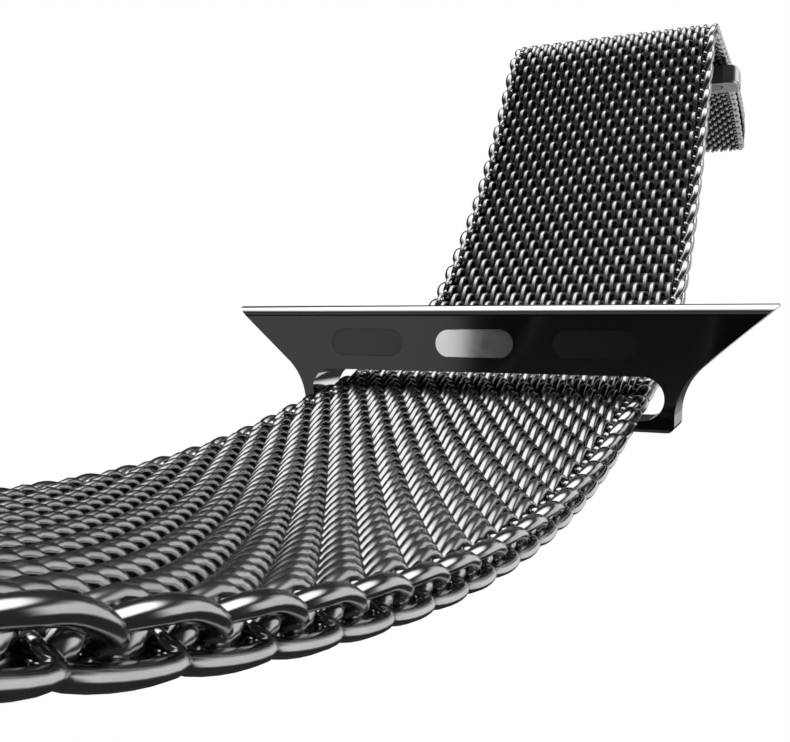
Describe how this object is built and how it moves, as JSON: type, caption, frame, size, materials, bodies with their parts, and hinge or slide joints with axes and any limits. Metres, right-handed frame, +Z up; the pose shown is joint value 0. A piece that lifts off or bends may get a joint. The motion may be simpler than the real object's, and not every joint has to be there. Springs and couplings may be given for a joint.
{
  "type": "milanese mesh watch band",
  "caption": "Woven steel watch band that slides through a slotted rail connector and folds back to a magnetic clasp, with sprung latches in both rail connectors.",
  "frame": {"origin": "middle of the slotted connector's rail, at the top edge of its front face", "axes": "+X across the band, +Y away from the front face towards the tail, +Z up from the slot to the rail"},
  "size_m": [0.036, 0.1714, 0.0426],
  "materials": {
    "dark_steel": "dark polished steel with a grey-black coating",
    "bright_steel": "bright polished steel",
    "pad_grey": "matte dark grey pads",
    "magnet_grey": "plated magnets"
  },
  "bodies": {
    "connector": {"slot_connector": "dark_steel", "slot_latch_springs": "bright_steel", "slot_latch_retainer": "dark_steel", "slot_pad_left": "pad_grey", "slot_pad_right": "pad_grey"},
    "latch": {"slot_latch": "bright_steel"},
    "mesh_middle": {"mesh_slot": "dark_steel"},
    "tail_1": {"mesh_tail_1": "dark_steel"},
    "tail_2": {"mesh_tail_2": "dark_steel"},
    "tail_3": {"mesh_tail_3": "dark_steel"},
    "tail_4": {"mesh_tail_4": "dark_steel"},
    "tail_5": {"mesh_tail_5": "dark_steel"},
    "tail_6": {"mesh_tail_6": "dark_steel"},
    "tail_7": {"mesh_tail_7": "dark_steel"},
    "tail_8": {"mesh_tail_8": "dark_steel"},
    "tail_9": {"mesh_tail_9": "dark_steel"},
    "tail_10": {"mesh_tail_10": "dark_steel"},
    "tail_11": {"mesh_tail_11": "dark_steel", "clasp_shell": "dark_steel", "clasp_cover": "dark_steel", "clasp_magnets": "magnet_grey", "clasp_shunt": "bright_steel", "clasp_anchor_pin": "bright_steel"},
    "front_1": {"mesh_front_1": "dark_steel"},
    "front_2": {"mesh_front_2": "dark_steel"},
    "front_3": {"mesh_front_3": "dark_steel"},
    "front_4": {"mesh_front_4": "dark_steel"},
    "front_5": {"mesh_front_5": "dark_steel"},
    "front_6": {"mesh_front_6": "dark_steel"},
    "second_connector": {"fixed_connector": "dark_steel", "fixed_latch_springs": "bright_steel", "fixed_latch_retainer": "dark_steel", "fixed_pad_left": "pad_grey", "fixed_pad_right": "pad_grey", "fixed_anchor_pin": "bright_steel"},
    "second_latch": {"fixed_latch": "bright_steel"}
  },
  "joints": [
    {"name": "latch_press", "type": "slide", "parent": "connector", "child": "latch", "axis": [0, 1, 0], "range_m": [0, 0.0005], "stiffness_N_per_m": 100, "springref_m": -0.002, "deforming": ["slot_latch_springs"]},
    {"name": "mesh_slide", "type": "slide", "parent": "connector", "child": "mesh_middle", "axis": [0, 0.9848, 0.1736], "range_m": [-0.005, 0.005]},
    {"name": "tail_bend_1", "type": "hinge", "parent": "mesh_middle", "child": "tail_1", "pos_m": [0, 0.01091, -0.00387], "axis": [1, 0, 0], "range_deg": [-25, 25]},
    {"name": "tail_bend_2", "type": "hinge", "parent": "tail_1", "child": "tail_2", "pos_m": [0, 0.02026, 0.00058], "axis": [-1, 0, 0], "range_deg": [-25, 25]},
    {"name": "tail_bend_3", "type": "hinge", "parent": "tail_2", "child": "tail_3", "pos_m": [0, 0.03001, 0.00915], "axis": [1, 0, 0], "range_deg": [-25, 25]},
    {"name": "tail_bend_4", "type": "hinge", "parent": "tail_3", "child": "tail_4", "pos_m": [0, 0.03816, 0.01927], "axis": [-1, 0, 0], "range_deg": [-25, 25]},
    {"name": "tail_bend_5", "type": "hinge", "parent": "tail_4", "child": "tail_5", "pos_m": [0, 0.04416, 0.02773], "axis": [1, 0, 0], "range_deg": [-25, 25]},
    {"name": "tail_bend_6", "type": "hinge", "parent": "tail_5", "child": "tail_6", "pos_m": [0, 0.05411, 0.02987], "axis": [-1, 0, 0], "range_deg": [-25, 25]},
    {"name": "tail_bend_7", "type": "hinge", "parent": "tail_6", "child": "tail_7", "pos_m": [0, 0.06708, 0.0307], "axis": [1, 0, 0], "range_deg": [0, 25]},
    {"name": "tail_bend_8", "type": "hinge", "parent": "tail_7", "child": "tail_8", "pos_m": [0, 0.08005, 0.03163], "axis": [1, 0, 0], "range_deg": [0, 25]},
    {"name": "tail_bend_9", "type": "hinge", "parent": "tail_8", "child": "tail_9", "pos_m": [0, 0.09304, 0.03156], "axis": [1, 0, 0], "range_deg": [0, 25]},
    {"name": "tail_bend_10", "type": "hinge", "parent": "tail_9", "child": "tail_10", "pos_m": [0, 0.09456, 0.02677], "axis": [1, 0, 0], "range_deg": [0, 25]},
    {"name": "tail_bend_11", "type": "hinge", "parent": "tail_10", "child": "tail_11", "pos_m": [0, 0.0817, 0.02861], "axis": [1, 0, 0], "range_deg": [0, 25]},
    {"name": "front_bend_1", "type": "hinge", "parent": "mesh_middle", "child": "front_1", "pos_m": [0, -0.00696, -0.00728], "axis": [1, 0, 0], "range_deg": [-25, 25]},
    {"name": "front_bend_2", "type": "hinge", "parent": "front_1", "child": "front_2", "pos_m": [0, -0.01989, -0.00855], "axis": [-1, 0, 0], "range_deg": [-25, 25]},
    {"name": "front_bend_3", "type": "hinge", "parent": "front_2", "child": "front_3", "pos_m": [0, -0.03286, -0.00785], "axis": [1, 0, 0], "range_deg": [-25, 25]},
    {"name": "front_bend_4", "type": "hinge", "parent": "front_3", "child": "front_4", "pos_m": [0, -0.04557, -0.00521], "axis": [-1, 0, 0], "range_deg": [-25, 25]},
    {"name": "front_bend_5", "type": "hinge", "parent": "front_4", "child": "front_5", "pos_m": [0, -0.0569, 0.00095], "axis": [1, 0, 0], "range_deg": [-25, 25]},
    {"name": "front_bend_6", "type": "hinge", "parent": "front_5", "child": "front_6", "pos_m": [0, -0.06463, 0.01129], "axis": [-1, 0, 0], "range_deg": [-25, 25]},
    {"name": "connector_pivot", "type": "hinge", "parent": "front_6", "child": "second_connector", "pos_m": [0, -0.0672, 0.0265], "axis": [1, 0, 0], "range_deg": [-30, 30]},
    {"name": "second_latch_press", "type": "slide", "parent": "second_connector", "child": "second_latch", "axis": [0, 0.9958, -0.0912], "range_m": [0, 0.0005], "stiffness_N_per_m": 100, "springref_m": -0.002, "deforming": ["fixed_latch_springs"]}
  ]
}
